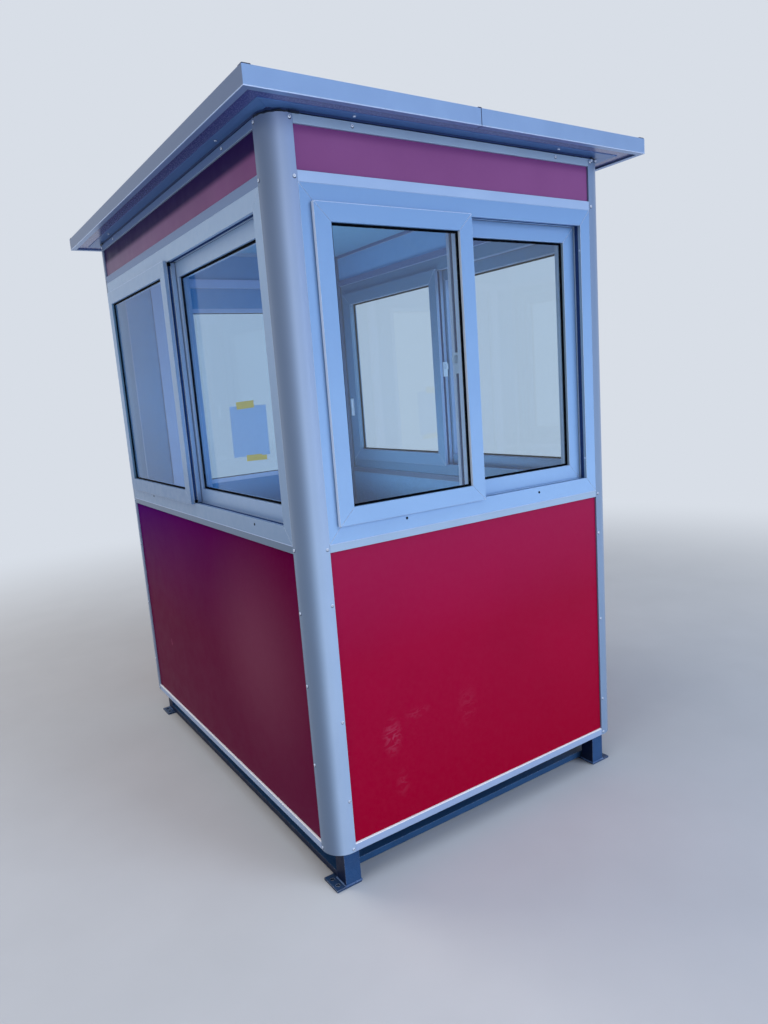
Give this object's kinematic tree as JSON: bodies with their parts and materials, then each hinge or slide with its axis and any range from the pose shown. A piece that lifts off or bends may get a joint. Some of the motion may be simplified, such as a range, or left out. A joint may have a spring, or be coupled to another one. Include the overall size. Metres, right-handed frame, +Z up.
{
  "type": "security guard booth",
  "caption": "Free-standing security guard booth with sliding windows on three sides, a hinged rear door and an overhanging flat roof, on a welded steel base.",
  "frame": {"origin": "on the ground, under the middle of the booth's plan", "axes": "+X to the right along the short front wall, +Y towards the door in the back wall, +Z up"},
  "size_m": [1.58, 2.138, 2.463],
  "materials": {
    "steel_base": "satin coated steel",
    "silver_trim": "satin silver coating",
    "red_panel": "smooth coated sheet",
    "window_frame": "satin white moulded section",
    "clear_glass": "clear polished",
    "white_liner": "satin white sheet",
    "door_red": "smooth coated sheet",
    "hardware": "brushed",
    "floor_cover": "matt sheet",
    "roof_membrane": "matt sheet",
    "sealant": "matt"
  },
  "bodies": {
    "booth": {"back_side_panels": "red_panel", "base_ring": "steel_base", "bottom_rails": "silver_trim", "ceiling": "white_liner", "corner_posts": "silver_trim", "door_head": "silver_trim", "door_jambs": "silver_trim", "door_threshold": "hardware", "fascia": "silver_trim", "floor_deck": "floor_cover", "floor_joists": "steel_base", "foot_plates": "steel_base", "frame_hinges": "hardware", "legs": "steel_base", "liner_back": "white_liner", "liner_front": "white_liner", "liner_left": "white_liner", "liner_right": "white_liner", "lower_panel_front": "red_panel", "lower_panel_left": "red_panel", "lower_panel_right": "red_panel", "mid_rails": "silver_trim", "reveal_ring": "sealant", "roof_membrane": "roof_membrane", "roof_panel": "white_liner", "sashes_front": "window_frame", "sashes_left": "window_frame", "sashes_right": "window_frame", "sill_rails": "silver_trim", "soffit": "silver_trim", "top_rails": "silver_trim", "upper_panels": "red_panel", "window_frame_front": "window_frame", "window_frame_left": "window_frame", "window_frame_right": "window_frame", "window_glass_front": "clear_glass", "window_glass_left": "clear_glass", "window_glass_right": "clear_glass", "window_latches": "white_liner"},
    "door": {"door_leaf": "door_red", "door_inner_skin": "white_liner", "door_glass": "clear_glass", "door_beads": "window_frame", "door_handle": "hardware", "door_hinges": "hardware"}
  },
  "joints": [
    {"name": "door_hinge", "type": "hinge", "parent": "booth", "child": "door", "pos_m": [0.4215, 0.9715, 1.2], "axis": [0, 0, -1], "range_deg": [0, 110]}
  ]
}
